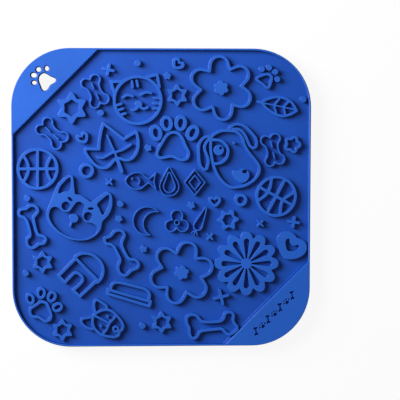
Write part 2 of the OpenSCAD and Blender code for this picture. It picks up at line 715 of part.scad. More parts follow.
module ivy_leaf() {
    raised() {
        loop(smooth(drawn(ivy_edge_px, ivy_px, ivy_h), true), line_w);
        for (i = [0 : len(ivy_lines_px) - 1])
            band(smooth(drawn(ivy_lines_px[i], ivy_px, ivy_h)), line_w * ivy_lines_w_share[i]);
    }
}

// Bones

left_bone_px = [32.3, 226.7, 45.9];
left_bone_edge_px = [[18.4, 213.1], [20.5, 209.4], [25.7, 208.9], [28.9, 206.2], [33.1, 205.4], [36.7, 207.8],
    [37.8, 211.5], [35.6, 214.7], [33.3, 217.9], [34.1, 223.3], [35.6, 229.7], [37.8, 234.7], [41.9, 235.8],
    [45, 237.7], [45.6, 240.3], [43.5, 243.5], [38.8, 244.1], [35.6, 246.7], [32, 248.1], [28.4, 246.7],
    [26.8, 243.5], [26.8, 239.3], [29.9, 236.6], [29.9, 232.3], [28.4, 226.5], [26.8, 221.1], [23.7, 217.4],
    [20, 216.3]];

module long_bone_left() {
    raised() loop(smooth(drawn(left_bone_edge_px, left_bone_px, left_bone_l), true), line_w);
}

middle_bone_px = [121.2, 252.8, 51.3];
middle_bone_edge_px = [[104.2, 240.4], [105.3, 237.8], [110.1, 236.4], [113.8, 231.9], [118.1, 230],
    [122.4, 231.4], [124.2, 235.6], [122.4, 239.9], [121.3, 244.2], [122.9, 249.5], [125.6, 254.8],
    [128.8, 259.1], [134.1, 259.6], [137.3, 261.8], [138.4, 265], [136.8, 268.2], [131.2, 270.3],
    [127.7, 274], [124, 275.6], [119.7, 273.5], [117.8, 269.2], [118.1, 265], [119.9, 261.2],
    [119.2, 257.5], [116.5, 252.2], [113.8, 246.8], [110.1, 244.2], [105.8, 243.6]];

module long_bone_middle() {
    raised() loop(smooth(drawn(middle_bone_edge_px, middle_bone_px, middle_bone_l), true), line_w);
}

bottom_bone_px = [211, 324.9, 54.2];
bottom_bone_edge_px = [[185.8, 318.6], [187.4, 315.9], [192.1, 314.3], [196.3, 315.9], [198.4, 318.6],
    [201.1, 321.2], [208.3, 321.8], [216.2, 321.3], [220.5, 320.5], [223.1, 317.5], [224.1, 313.8],
    [227.8, 311.7], [231.5, 312.7], [232.6, 315.9], [232, 319.7], [233.6, 323.9], [235.7, 325.5],
    [236.2, 329.3],
    [231.5, 333], [227.8, 334.1], [224.7, 332.5], [222, 329.3], [218.9, 328.5], [211, 329.3],
    [202, 330.3], [198.4, 332.5], [196.8, 335.7], [193.7, 338.1], [190, 336.7], [188.6, 331.9],
    [188.4, 327.1], [186.3, 323.9]];

// This bone runs into the bottom right corner and ends on its slope
module long_bone_bottom() {
    difference() {
        raised() loop(smooth(drawn(bottom_bone_edge_px, bottom_bone_px, bottom_bone_l), true), line_w);
        sloped_block();
    }
}

// A small bone upright: knobs at each end, a waist with a corner at each knob, and two dashes
small_bone_reach_share = 0.322;
small_bone_knob_share = 0.152;
small_bone_knob_r_share = 0.151;
small_bone_waist_share = 0.173;
small_bone_waist_l_share = 0.088;
small_bone_notch_share = 0.375;
small_bone_dash_share = [0.09, 0.26];
small_bone_knob_turns = [-65, 140];

function small_bone_quarter(l) = concat(
    [[small_bone_waist_share * l, small_bone_waist_l_share * l]],
    arc([small_bone_knob_share, small_bone_reach_share] * l, small_bone_knob_r_share * l,
        small_bone_knob_turns[0], small_bone_knob_turns[1], 8),
    [[0, small_bone_notch_share * l]]);
function flipped(points, x, y) = [for (p = points) [p.x * x, p.y * y]];
function small_bone_edge(l) = let (quarter = small_bone_quarter(l), n = len(quarter)) concat(
    quarter,
    backwards(flipped([for (i = [0 : n - 2]) quarter[i]], -1, 1)),
    flipped(quarter, -1, -1),
    backwards(flipped([for (i = [0 : n - 2]) quarter[i]], 1, -1)));

module small_bone(i) {
    l = small_bone_l * fit;
    raised() translate(place(small_bone_px[i])) rotate(small_bone_turn[i]) {
        loop(small_bone_edge(l), thin_line_w);
        for (side = [-1, 1]) band([for (s = small_bone_dash_share) [0, side * s * l]], thin_line_w);
    }
}

// Paws

large_paw_px = [174, 138.5, 50];
large_toes_px = [[155.7, 132.7], [166.4, 123.3], [180.5, 123], [192.2, 132.7]];
large_toe_half_px = [[6.5, 8.6], [6.4, 8.1], [6.4, 8.2], [6.6, 8.6]];
large_toe_turn = [15, 8, -5, -25];
large_toe_hole_px = [2.6, 4.5];
large_pad_px = [[174.2, 132.1], [179, 134.2], [182.7, 139.5], [184.9, 145.4], [187.5, 150.2], [188.6, 153.9],
    [187, 158.2], [183.3, 159.8], [179, 159.3], [174.7, 157.1], [169.9, 156.1], [165.7, 157.1],
    [160.3, 157.9], [157.1, 156.1], [156.9, 151.8], [159.3, 147], [162.5, 141.7], [165.7, 136.3],
    [169.4, 133.1]];

middle_paw_px = [44.6, 304.2, 37.9];
middle_toes_px = [[30.1, 299], [41.1, 293.1], [51.7, 296.7], [57.4, 307.2]];
middle_toe_half_px = [[4.7, 6.2], [4.9, 6.1], [5, 6], [5, 5.9]];
middle_toe_turn = [15, -5, -22, -60];
middle_toe_hole_px = [1.9, 3.2];
middle_pad_px = [[42.1, 301.7], [46.4, 303.3], [48.4, 307.5], [50.5, 312.9], [51.1, 316.6], [49.5, 319.8],
    [45.8, 321.1], [42.1, 319.3], [38.5, 316.9], [34.3, 316.9], [31.1, 315.5], [29.8, 311.8],
    [31.1, 308.1], [35.3, 305.4], [39, 302.7]];

module open_paw(spot, size, toes, halves, turns, hole, pad) {
    raised() {
        for (i = [0 : len(toes) - 1]) {
            middle = drawn([toes[i]], spot, size)[0];
            difference() {
                polygon(oval(middle, [for (h = halves[i]) sized(h, spot, size)], turns[i], 24));
                polygon(oval(middle, [for (h = hole) sized(h, spot, size)], turns[i], 16));
            }
        }
        loop(smooth(drawn(pad, spot, size), true), line_w);
    }
}

module paw_large() {
    open_paw(large_paw_px, large_paw_w, large_toes_px, large_toe_half_px, large_toe_turn,
        large_toe_hole_px, large_pad_px);
}

module paw_middle() {
    open_paw(middle_paw_px, middle_paw_w, middle_toes_px, middle_toe_half_px, middle_toe_turn,
        middle_toe_hole_px, middle_pad_px);
}

small_paw_px = [267.7, 77, 24.7];
small_toes_px = [[261.7, 68.8], [269, 67.4], [275.1, 71.5], [277.1, 79]];
small_toe_r_px = 3;
small_pad_px = [[267, 73.6], [271.5, 76.8], [270.5, 82.7], [268.6, 87], [266.2, 87.5], [264.1, 85.3],
    [261.1, 82.7], [256.9, 80], [256.9, 77.3], [260.6, 75.5]];

module paw_small() {
    raised() {
        for (toe = small_toes_px) translate(drawn([toe], small_paw_px, small_paw_w)[0])
            circle(r = sized(small_toe_r_px, small_paw_px, small_paw_w), $fn = 32);
        loop(smooth(drawn(small_pad_px, small_paw_px, small_paw_w), true), leaf_line_w);
    }
}

// Balls, kennel and comb

ball_left_px = [37.5, 168.9, 42.3];
ball_left_seams_px = [
    [[37.5, 149], [37.5, 188.8]], [[17.6, 168.9], [57.4, 168.9]],
    [[22.8, 155.3], [26.8, 161.5], [28.5, 168.9], [26.8, 176.3], [22.8, 182.5]],
    [[52.2, 155.3], [48.3, 161.5], [46.6, 168.9], [48.3, 176.3], [52.2, 182.5]]];
ball_right_px = [275.5, 196.3, 42.3];
ball_right_seams_px = [
    [[284.9, 178.7], [266.1, 213.9]], [[258, 186.6], [293, 206]],
    [[271, 177.3], [269.4, 187.6], [265.4, 194.9], [256.5, 200.9]],
    [[294, 192.1], [284.2, 198.4], [280.5, 204.5], [279.7, 215.3]]];

module ball(spot, seams) {
    raised() {
        translate(place(spot)) difference() {
            circle(d = ball_d * fit, $fn = 96);
            circle(d = ball_d * fit - 2 * line_w, $fn = 96);
        }
        intersection() {
            translate(place(spot)) circle(d = ball_d * fit - line_w, $fn = 96);
            for (seam = seams) band(smooth(drawn(seam, spot, ball_d)), line_w);
        }
    }
}

module ball_left() {
    ball(ball_left_px, ball_left_seams_px);
}

module ball_right() {
    ball(ball_right_px, ball_right_seams_px);
}

kennel_px = [80.8, 274.8, 45.2];
kennel_roof_px = [[75.2, 257.1], [79.9, 254.1], [85.4, 253.3], [91.7, 254.6], [97.5, 258.7], [101.8, 264.3],
    [103.1, 271.4], [101.2, 278.2], [97, 282.5]];
kennel_wall_px = [[75.7, 258.6], [58.5, 276.1], [58.5, 276.1], [65.1, 282.3], [65.1, 282.3], [74.1, 273.1],
    [78.1, 273.4], [81.5, 276.1], [82.7, 280.2], [79.9, 284.3], [73, 290.4], [73, 290.4], [79.9, 296.4],
    [79.9, 296.4], [96.5, 281]];
kennel_eave_px = [[74.8, 257.6], [98.5, 281.4]];

module kennel() {
    raised() {
        band(smooth(drawn(kennel_roof_px, kennel_px, kennel_w)), line_w);
        band(smooth(drawn(kennel_wall_px, kennel_px, kennel_w)), line_w);
        band(drawn(kennel_eave_px, kennel_px, kennel_w), line_w);
    }
}

comb_px = [128.8, 294.5, 47.5];
comb_lines_px = [
    [[109.9, 289.7], [110.7, 285.5], [114.1, 282.4], [119.5, 282.2], [131.8, 285.2], [144, 288.4],
     [148.3, 291.3], [149.9, 295.6], [148.8, 300.6]],
    [[107.7, 289.6], [149.9, 301.4]],
    [[106.7, 293.5], [149.3, 306.4]],
    [[107.6, 288.9], [106.6, 293.8]],
    [[150.8, 301.4], [149.6, 306.2]]];

module comb() {
    raised() for (bar = comb_lines_px) band(smooth(drawn(bar, comb_px, comb_l)), line_w);
}

// Hearts, stars, rings and marks

large_heart_px = [290.7, 245.2, 29.6];
large_heart_edge_px = [[276.3, 238.1], [279, 234.3], [282.7, 231.8], [287, 231], [291.2, 232.3],
    [294.4, 235.3], [296, 237.8], [298.7, 238.4], [302.4, 240.5], [305.1, 243.5], [305.9, 247.9],
    [304.6, 252.2], [300.8, 256], [295.5, 258.5], [289.6, 259.3], [283.2, 258.5], [280.6, 255.5],
    [278.4, 251.1], [277.1, 246.2], [276.1, 241.8]];
large_heart_hole_px = [[284.6, 241.3], [286.7, 238.6], [288.6, 239.2], [288.8, 241.8], [290.2, 244.6],
    [292.8, 245.8], [295.5, 245.1], [297.6, 245.3], [297.9, 247.9], [296, 250], [291.8, 251.1],
    [287, 250.6], [285.4, 247.9], [284.8, 244.6]];

module large_heart() {
    raised() difference() {
        polygon(smooth(drawn(large_heart_edge_px, large_heart_px, large_heart_w), true));
        polygon(smooth(drawn(large_heart_hole_px, large_heart_px, large_heart_w), true));
    }
}

// The right half of an upright heart and of its hole, from the notch down, one wide
small_heart_shares = [[0, 0.24], [0.12, 0.37], [0.29, 0.4], [0.44, 0.3], [0.5, 0.12], [0.45, -0.08],
    [0.29, -0.28], [0.1, -0.43]];
small_heart_hole_shares = [[0, 0.02], [0.11, 0.13], [0.22, 0.17], [0.27, 0.07], [0.18, -0.07],
    [0.05, -0.2]];
function whole_heart(shares, w) = smooth(w * concat(
    [shares[0]], shares, backwards(flipped([for (i = [1 : len(shares) - 1]) shares[i]], -1, 1))), true);

module small_heart(i) {
    raised() translate(place(small_heart_px[i])) rotate(small_heart_turn[i]) difference() {
        polygon(whole_heart(small_heart_shares, small_heart_w * fit));
        polygon(whole_heart(small_heart_hole_shares, small_heart_w * fit));
    }
}

star_notch_share = 0.65;
star_hole_share = 0.52;
star_hole_notch_share = 0.84;
star_tip_share = 0.09;

// A star of six points with blunt tips
function star(r, notch_share) = let (blunt = r * star_tip_share) [for (k = [0 : 5]) each [
    for (side = [-1, 0, 1]) turned([[r - abs(side) * blunt / 2, side * blunt]], 60 * k)[0],
    turned([[r * notch_share, 0]], 60 * k + 30)[0]]];

module six_star(spot, d, angle) {
    r = d * fit / 2;
    raised() translate(place(spot)) rotate(90 + angle) difference() {
        polygon(star(r, star_notch_share));
        polygon(star(r * star_hole_share, star_hole_notch_share));
    }
}

module large_star() {
    six_star(large_star_px, large_star_d, 0);
}

ring_left_px = [86.4, 170.7];
ring_right_px = [240.2, 200];

module ring(spot, d) {
    raised() translate(place(spot)) difference() {
        circle(d = d * fit, $fn = 64);
        circle(d = d * fit - 2 * ring_wall_w, $fn = 48);
    }
}

module ring_left() {
    ring(ring_left_px, left_ring_d);
}

module ring_right() {
    ring(ring_right_px, right_ring_d);
}

module plus(spot, l, w, angle) {
    reach = (l * fit - w) / 2;
    raised() translate(place(spot)) rotate(angle)
        for (a = [0, 90]) band(turned([[-reach, 0], [reach, 0]], a), w);
}

module large_cross() {
    plus(large_cross_px, large_cross_l, line_w, large_cross_turn);
}

module dots() {
    raised() for (p = dot_px) translate(place(p)) circle(d = dot_d * fit, $fn = 32);
}

// Outline figures, in two lines of three

fish_px = [140.5, 181, 31.2];
fish_edge_px = [[125.2, 181], [129, 175.5], [135, 172.6], [141.5, 173.6], [148.5, 179.2], [155.6, 172.8],
    [155.6, 172.8], [153.6, 181], [155.6, 189.2], [155.6, 189.2], [148.5, 182.8], [141.5, 188.4],
    [135, 189.4], [129, 186.5]];
fish_eye_px = [132, 178.6];
fish_gill_px = [[138, 177.4], [139.8, 181], [138, 184.6]];

module fish() {
    raised() {
        loop(smooth(drawn(fish_edge_px, fish_px, fish_l), true), figure_line_w);
        translate(drawn([fish_eye_px], fish_px, fish_l)[0]) circle(r = figure_line_w, $fn = 24);
        band(smooth(drawn(fish_gill_px, fish_px, fish_l)), figure_line_w);
    }
}

drop_px = [169, 182];
drop_r_share = 0.34;
drop_reach_share = 0.47;
drop_inner_reach_share = 0.3;
drop_tip_share = 0.04;

module drop() {
    h = drop_h * fit;
    r = h * drop_r_share;
    tip_r = h * drop_tip_share;
    low = r - h / 2;
    raised() translate(place(drop_px)) rotate(90) {
        loop(teardrop(low, r, h * drop_reach_share, tip_r, 12), figure_line_w);
        loop(teardrop(low, r - figure_gap * fit, h * drop_inner_reach_share, tip_r, 10), figure_line_w);
    }
}

lozenge_px = [194.5, 182.5];
lozenge_w_share = 0.8;
function rhombus(h) = h / 2 * [[lozenge_w_share, 0], [0, 1], [-lozenge_w_share, 0], [0, -1]];

module lozenge() {
    raised() translate(place(lozenge_px)) {
        loop(rhombus(lozenge_h * fit), figure_line_w);
        loop(rhombus((lozenge_h - 3 * figure_gap) * fit), figure_line_w);
    }
}

crescent_px = [147, 221];
crescent_turn = -20;
crescent_bite_share = 0.62;
crescent_bite_r_share = 0.88;
crescent_back_turns = [60, 300];
crescent_bite_turns = [258, 102];

module crescent() {
    r = crescent_h * fit / 2;
    raised() translate(place(crescent_px)) rotate(crescent_turn) loop(concat(
        arc([0, 0], r, crescent_back_turns[0], crescent_back_turns[1], 20),
        arc([r * crescent_bite_share, 0], r * crescent_bite_r_share,
            crescent_bite_turns[0], crescent_bite_turns[1], 14)), figure_line_w);
}

trefoil_px = [176.5, 222.5];
trefoil_valley_share = 0.2;
trefoil_reach_share = 0.26;
trefoil_petal_share = 0.225;

module trefoil() {
    d = trefoil_d * fit;
    raised() {
        loop(petals(3, trefoil_valley_share * d, trefoil_reach_share * d, trefoil_petal_share * d,
            90, place(trefoil_px), 12), figure_line_w);
        translate(place(trefoil_px)) difference() {
            circle(d = figure_gap * fit + 2 * figure_line_w, $fn = 32);
            circle(d = figure_gap * fit, $fn = 24);
        }
    }
}

carrot_px = [199.5, 221.5];
carrot_turn = 66;
carrot_top_share = -0.16;
carrot_top_r_share = 0.14;
carrot_tip_share = 0.45;
carrot_tip_r_share = 0.03;
carrot_leaves_share = -0.3;
carrot_leaf_share = 0.17;
carrot_leaf_turn = [145, 180, 215];

module carrot() {
    l = carrot_l * fit;
    raised() translate(place(carrot_px)) rotate(carrot_turn) {
        loop(teardrop(l * carrot_top_share, l * carrot_top_r_share, l * carrot_tip_share,
            l * carrot_tip_r_share, 8), figure_line_w);
        for (a = carrot_leaf_turn) band(turned(
            [[0, 0], [carrot_leaf_share * l, 0]], a, [carrot_leaves_share * l, 0]), figure_line_w);
    }
}

mat_sheet();
suction_cups();
rim_right();
rim_left();
hanging_corner();
grip_corner();
cat_face();
cat_features();
hound_face();
puppy_face();
calf_face();
flower_top();
flower_bottom();
daisy();
ring_blossom();
blossoms();
pointed_leaf();
ivy_leaf();
long_bone_left();
long_bone_middle();
long_bone_bottom();
paw_large();
paw_middle();
paw_small();
ball_left();
ball_right();
kennel();
comb();
large_heart();
large_star();
ring_left();
ring_right();
large_cross();
dots();
fish();
drop();
lozenge();
crescent();
trefoil();
carrot();
for (i = [0 : len(small_bone_px) - 1])
    small_bone(i);
for (i = [0 : len(star_px) - 1])
    six_star(star_px[i], star_d, star_turn[i]);
for (i = [0 : len(cross_px) - 1])
    plus(cross_px[i], cross_l, line_w, cross_turn[i]);
for (i = [0 : len(slant_cross_px) - 1])
    plus(slant_cross_px[i], slant_cross_l, slant_cross_w, 45);
for (i = [0 : len(small_heart_px) - 1])
    small_heart(i);
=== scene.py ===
import math

import bmesh
import bpy
import numpy as np
from mathutils import Matrix, Vector
from mathutils.geometry import delaunay_2d_cdt


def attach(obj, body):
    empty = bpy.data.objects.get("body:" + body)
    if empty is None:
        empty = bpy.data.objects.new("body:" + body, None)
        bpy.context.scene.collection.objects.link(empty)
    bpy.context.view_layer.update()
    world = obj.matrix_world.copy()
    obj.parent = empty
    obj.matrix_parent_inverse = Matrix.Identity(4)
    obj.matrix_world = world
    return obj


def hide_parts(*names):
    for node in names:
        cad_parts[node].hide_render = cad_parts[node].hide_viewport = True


# A silicone lick mat: its sheet, rims, solid corners and suction cups, and the raised pattern.
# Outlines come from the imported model's own level faces; walls and edges are carried along them.
# Lengths are in millimetres in the dictionaries and turned to metres when a mesh is made; the camera's
# and the studio's are in metres.

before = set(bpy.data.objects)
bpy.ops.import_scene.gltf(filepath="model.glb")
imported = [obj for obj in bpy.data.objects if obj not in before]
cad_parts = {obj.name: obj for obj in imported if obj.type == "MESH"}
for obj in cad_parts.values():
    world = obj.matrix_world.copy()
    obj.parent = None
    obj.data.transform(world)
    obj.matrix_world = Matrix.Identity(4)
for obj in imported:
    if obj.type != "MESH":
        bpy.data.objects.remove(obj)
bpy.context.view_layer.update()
print("frame loaded with", len(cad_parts), "nodes")

mm = 0.001
mat = {
    "underside": 4.5,      # height of the sheet's lower face above the suction cups' lips
    "floor": 6.5,          # height of the sheet's upper face
    "top": 9.5,            # height of the rim, the solid corners and the pattern
    "weld": 0.002,         # points nearer to each other than this are one point
    "smoothAngle": 38,     # degrees past which an edge stays sharp
}

# The camera stands where the photograph's did: nearly overhead, tipped a little to the top left
cameraFit = {
    "place": (-0.03345, 0.08251, 1.10519),
    "looks": (0.05476, -0.07611, -0.99559),
    "up": (0.00193, 0.9971, -0.07612),
    "lens": 140.73, "sensor": 36,
}


def placeCamera():
    # the camera's own axes from where it looks and what is up for it
    lens = bpy.data.cameras.new("camera")
    lens.lens = cameraFit["lens"]
    lens.sensor_width = cameraFit["sensor"]
    camera = bpy.data.objects.new("camera", lens)
    bpy.context.scene.collection.objects.link(camera)
    bpy.context.scene.camera = camera
    forward = Vector(cameraFit["looks"]).normalized()
    sideways = forward.cross(Vector(cameraFit["up"])).normalized()
    camera.location = cameraFit["place"]
    camera.rotation_euler = Matrix([sideways, sideways.cross(forward), -forward]).transposed().to_euler()


placeCamera()
print("camera placed")


def linear(hexColour):
    # sRGB hex to linear light: c / 12.92 below 0.04045, else ((c + 0.055) / 1.055) to the power 2.4
    c = np.array([int(hexColour[i:i + 2], 16) for i in (1, 3, 5)]) / 255
    return (*np.where(c < 0.04045, c / 12.92, ((c + 0.055) / 1.055) ** 2.4).tolist(), 1.0)


def addNode(tree, kind, settings=None, inputs=None, links=None):
    # one node, with its settings, its sockets' values and the sockets that feed it
    node = tree.nodes.new(kind)
    for name, value in (settings or {}).items():
        setattr(node, name, value)
    for name, value in (inputs or {}).items():
        node.inputs[name].default_value = value
    for name, (source, socket) in (links or {}).items():
        tree.links.new(source.outputs[socket], node.inputs[name])
    return node


# Silicone rubber, compression moulded in a spark-eroded steel mould and coloured through: a satin
# skin with a soft wide highlight and a very fine grain. Painted by height: the pattern's crowns and
# thin edges paler than the sheet, a painted highlight, and its walls deeper, a painted shade.
silicone = {
    # the sheet tone is the silicone's own colour; the wall tone is painted shade, the edge and crown tones
    # painted highlight
    "sheet": "#0348AE", "wall": "#02368A", "edge": "#1C5CC2", "crownPaintedLight": "#1658BE",
    "tones": ("sheet", "wall", "wall", "edge", "crownPaintedLight"),   # from the sheet's face up to the pattern's top
    "heights": (0.02, 0.07, 0.86, 0.95, 1.0),              # the relief's shares at which those tones sit
    "sheens": (1, 0.35, 0.35, 1, 1),                       # share of the glance there: walls are duller
    "cloud": 38,           # mm, patches where the pigment is a touch thicker or thinner
    "cloudTone": (0.92, 1.08),
    "grain": 0.9,          # mm; the mould's grain is about 0.05 mm, drawn coarser so that it shows
    "wave": 7,             # mm, slow unevenness of a thin moulding
    "noiseSpan": (0.3, 0.7),   # nearly all of a noise's values lie in here
    "roughness": (0.43, 0.53),
    "glance": 0.75,        # specular level; the grain's facets glance a little more than a plane face
    "grainHeight": 0.009, "waveHeight": 0.02,   # mm
    "ior": 1.41,
}


def mouldedSilicone():
    material = bpy.data.materials.new("mouldedSilicone")
    material.use_nodes = True
    tree = material.node_tree
    tree.nodes.clear()
    where = addNode(tree, "ShaderNodeTexCoord")
    place = addNode(tree, "ShaderNodeSeparateXYZ", links={"Vector": (where, "Object")})
    rise = addNode(tree, "ShaderNodeMapRange",
                   inputs={"From Min": mat["floor"] * mm, "From Max": mat["top"] * mm},
                   links={"Value": (place, "Z")})
    # the ramp paints light by height: painted shade on the walls, painted highlight on edges and crowns
    tone = addNode(tree, "ShaderNodeValToRGB", links={"Fac": (rise, "Result")})
    for share in silicone["heights"][2:]:
        tone.color_ramp.elements.new(share)
    stops = zip(tone.color_ramp.elements, silicone["heights"], silicone["tones"], silicone["sheens"])
    for stop, share, name, sheen in stops:
        stop.position = share
        stop.color = (*linear(silicone[name])[:3], sheen)    # its alpha carries the sheen
    glance = addNode(tree, "ShaderNodeMath", {"operation": "MULTIPLY"}, {1: silicone["glance"]},
                     {0: (tone, "Alpha")})
    noiseLow, noiseHigh = silicone["noiseSpan"]
    cloud = addNode(tree, "ShaderNodeTexNoise",
                    inputs={"Scale": 1 / (silicone["cloud"] * mm), "Detail": 3, "Roughness": 0.5},
                    links={"Vector": (where, "Object")})
    depth = addNode(tree, "ShaderNodeMapRange",
                    inputs={"From Min": noiseLow, "From Max": noiseHigh,
                            "To Min": silicone["cloudTone"][0], "To Max": silicone["cloudTone"][1]},
                    links={"Value": (cloud, "Fac")})
    # the pigment's cloud of thicker and thinner patches, times the ramp's painted shade and highlight
    pigmentAndPaintedLight = addNode(tree, "ShaderNodeHueSaturation",
                      links={"Value": (depth, "Result"), "Color": (tone, "Color")})
    grain = addNode(tree, "ShaderNodeTexNoise",
                    inputs={"Scale": 1 / (silicone["grain"] * mm), "Detail": 2, "Roughness": 0.6},
                    links={"Vector": (where, "Object")})
    wave = addNode(tree, "ShaderNodeTexNoise",
                   inputs={"Scale": 1 / (silicone["wave"] * mm), "Detail": 1, "Roughness": 0.4},
                   links={"Vector": (where, "Object")})
    gloss = addNode(tree, "ShaderNodeMapRange",
                    inputs={"From Min": noiseLow, "From Max": noiseHigh,
                            "To Min": silicone["roughness"][0], "To Max": silicone["roughness"][1]},
                    links={"Value": (grain, "Fac")})
    waved = addNode(tree, "ShaderNodeBump",
                    inputs={"Strength": 1, "Distance": silicone["waveHeight"] * mm},
                    links={"Height": (wave, "Fac")})
    grained = addNode(tree, "ShaderNodeBump",
                      inputs={"Strength": 1, "Distance": silicone["grainHeight"] * mm},
                      links={"Height": (grain, "Fac"), "Normal": (waved, "Normal")})
    skin = addNode(tree, "ShaderNodeBsdfPrincipled",
                   inputs={"IOR": silicone["ior"]},
                   links={"Base Color": (pigmentAndPaintedLight, "Color"), "Roughness": (gloss, "Result"),
                          "Specular IOR Level": (glance, "Value"), "Normal": (grained, "Normal")})
    addNode(tree, "ShaderNodeOutputMaterial", links={"Surface": (skin, "BSDF")})
    return material


siliconeSkin = mouldedSilicone()
print("material made")


def levelFaces(node, height):
    # a node's points and the triangles that lie flat at one height and face up
    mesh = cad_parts[node].data
    mesh.calc_loop_triangles()
    place = np.empty(len(mesh.vertices) * 3, np.float32)
    mesh.vertices.foreach_get("co", place)
    corners = np.empty(len(mesh.loop_triangles) * 3, np.int32)
    mesh.loop_triangles.foreach_get("vertices", corners)
    place = np.round(place.reshape(-1, 3).astype(float) / mm, 3)
    points, merged = np.unique(place, axis=0, return_inverse=True)
    corners = merged.reshape(-1)[corners].reshape(-1, 3)
    a, b, c = (points[corners[:, k]] for k in range(3))
    level = (np.abs(points[corners][:, :, 2] - height) < mat["weld"]).all(1)
    facesUp = (b - a)[:, 0] * (c - a)[:, 1] - (b - a)[:, 1] * (c - a)[:, 0] > 0
    return points[:, :2], corners[level & facesUp]


def onward(points, came, here, after):
    # the next point of a loop; where two loops touch in a point, the way that turns least to the left
    ways = after[here]
    pick = 0
    if len(ways) > 1 and came is not None:
        back = points[here] - points[came]
        outs = [points[way] - points[here] for way in ways]
        pick = int(np.argmin([math.atan2(back[0] * o[1] - back[1] * o[0], back @ o) for o in outs]))
    way = ways.pop(pick)
    if not ways:
        del after[here]
    return way


def edgeLoops(points, triangles):
    # the open edges of some triangles, those that no other triangle shares, walked into closed loops
    # with the triangles on their left
    sides = np.concatenate([triangles[:, [0, 1]], triangles[:, [1, 2]], triangles[:, [2, 0]]])
    code = sides[:, 0] * len(points) + sides[:, 1]
    free = sides[~np.isin(code, sides[:, 1] * len(points) + sides[:, 0])]
    after = {}
    for start, end in free.tolist():
        after.setdefault(start, []).append(end)
    loops = []
    while after:
        start = next(iter(after))
        walk = [start]
        step = onward(points, None, start, after)
        while step != start:
            walk.append(step)
            step = onward(points, walk[-2], step, after)
        loops.append(points[walk])
    return loops


def wallOf(loops):
    # the walls that stand on closed loops: where each side starts and where it ends
    return np.concatenate(loops), np.concatenate([np.roll(loop, -1, 0) for loop in loops])


def windings(spots, loops):
    # how many times the loops turn round each spot: crossings of the level ray from it, up minus down
    a, b = wallOf(loops)
    x, y = spots[:, :1], spots[:, 1:]
    rises = (a[:, 1] <= y) & (b[:, 1] > y)
    falls = (a[:, 1] > y) & (b[:, 1] <= y)
    side = (b[:, 0] - a[:, 0]) * (y - a[:, 1]) - (x - a[:, 0]) * (b[:, 1] - a[:, 1])
    return (rises & (side > 0)).sum(1) - (falls & (side < 0)).sum(1)


def fill(loops, inside=1):
    # a flat net of triangles inside closed loops: Delaunay triangles whose middles the loops turn round
    flat = np.concatenate(loops)
    starts = np.cumsum([0] + [len(loop) for loop in loops])
    sides = np.concatenate([np.stack([np.arange(s, e), np.roll(np.arange(s, e), -1)], 1)
                            for s, e in zip(starts[:-1], starts[1:])])
    places, _, triangles, came, _, _ = delaunay_2d_cdt(
        [Vector(p) for p in flat.tolist()], sides.tolist(), [], 0, mat["weld"] / 4)
    places = np.array([tuple(p) for p in places])
    triangles = np.array([t for t in triangles if len(t) == 3])
    turns = windings(places[triangles].mean(1), loops) * inside
    return places, triangles[turns > 0], [c[0] if c else -1 for c in came]


def outlines(nodes, height):
    # the outlines of one or several nodes together; where they touch, the shared line goes
    found = [levelFaces(node, height) for node in nodes]
    loops = [loop for points, triangles in found for loop in edgeLoops(points, triangles)]
    if len(nodes) == 1:
        return loops
    places, triangles, _ = fill(loops)
    return edgeLoops(places, triangles)


def nearWall(spots, a, b, distance):
    # True where a spot is nearer to any of the walls from a to b than a distance
    run = b - a
    along = np.einsum("ijk,jk->ij", spots[:, None] - a[None], run) / np.maximum((run ** 2).sum(1), 1e-12)
    nearest = a[None] + np.clip(along, 0, 1)[..., None] * run[None]
    return np.linalg.norm(spots[:, None] - nearest, axis=2).min(1) < distance


# How an outline's corners are moved and woven into curves
weaving = {
    "sharp": 40,           # degrees; a corner that turns more is cut by crisp
    "blunt": 22,           # degrees; one that turns more than this is cut by twice crisp
    "gentleCut": 2.4,      # mm, the most cut off the sides of any other corner
    "arcCut": 9,           # mm, the most on an arc, where all corners are alike
    "likeTurn": 0.06,      # radians by which corners on one arc may differ
    "likeSide": 0.1,       # share by which their sides may differ
    "stepTurn": 9,         # degrees to a step of the woven curve
    "mostSteps": 8,
    "mitreFloor": 0.3,     # keeps the mitre of a very sharp corner short
    "straightFloor": 0.02,   # keeps the step apart short where two edges are nearly in line
    "tries": 8,            # insets tried between none and the full one
    "clear": 0.96,         # share of its inset that a corner keeps from every wall
    "crestPoints": 6,      # points at a profile's end from which a held corner takes its height
}


def mitres(points):
    # for each corner the step that moves both its edges inwards by one: the sum of their inward
    # unit normals over one plus their product; and the step that moves only the second against the first
    out = np.roll(points, -1, 0) - points
    length = np.linalg.norm(out, axis=1)
    inward = np.stack([-out[:, 1], out[:, 0]], 1) / length[:, None]
    before = np.roll(inward, 1, 0)
    product = (before * inward).sum(1)
    both = (before + inward) / np.maximum(1 + product, weaving["mitreFloor"])[:, None]
    apart = (inward - before) / np.maximum(1 - product, weaving["straightFloor"])[:, None]
    turn = np.arctan2(before[:, 0] * inward[:, 1] - before[:, 1] * inward[:, 0], product)
    return both, apart, turn, length


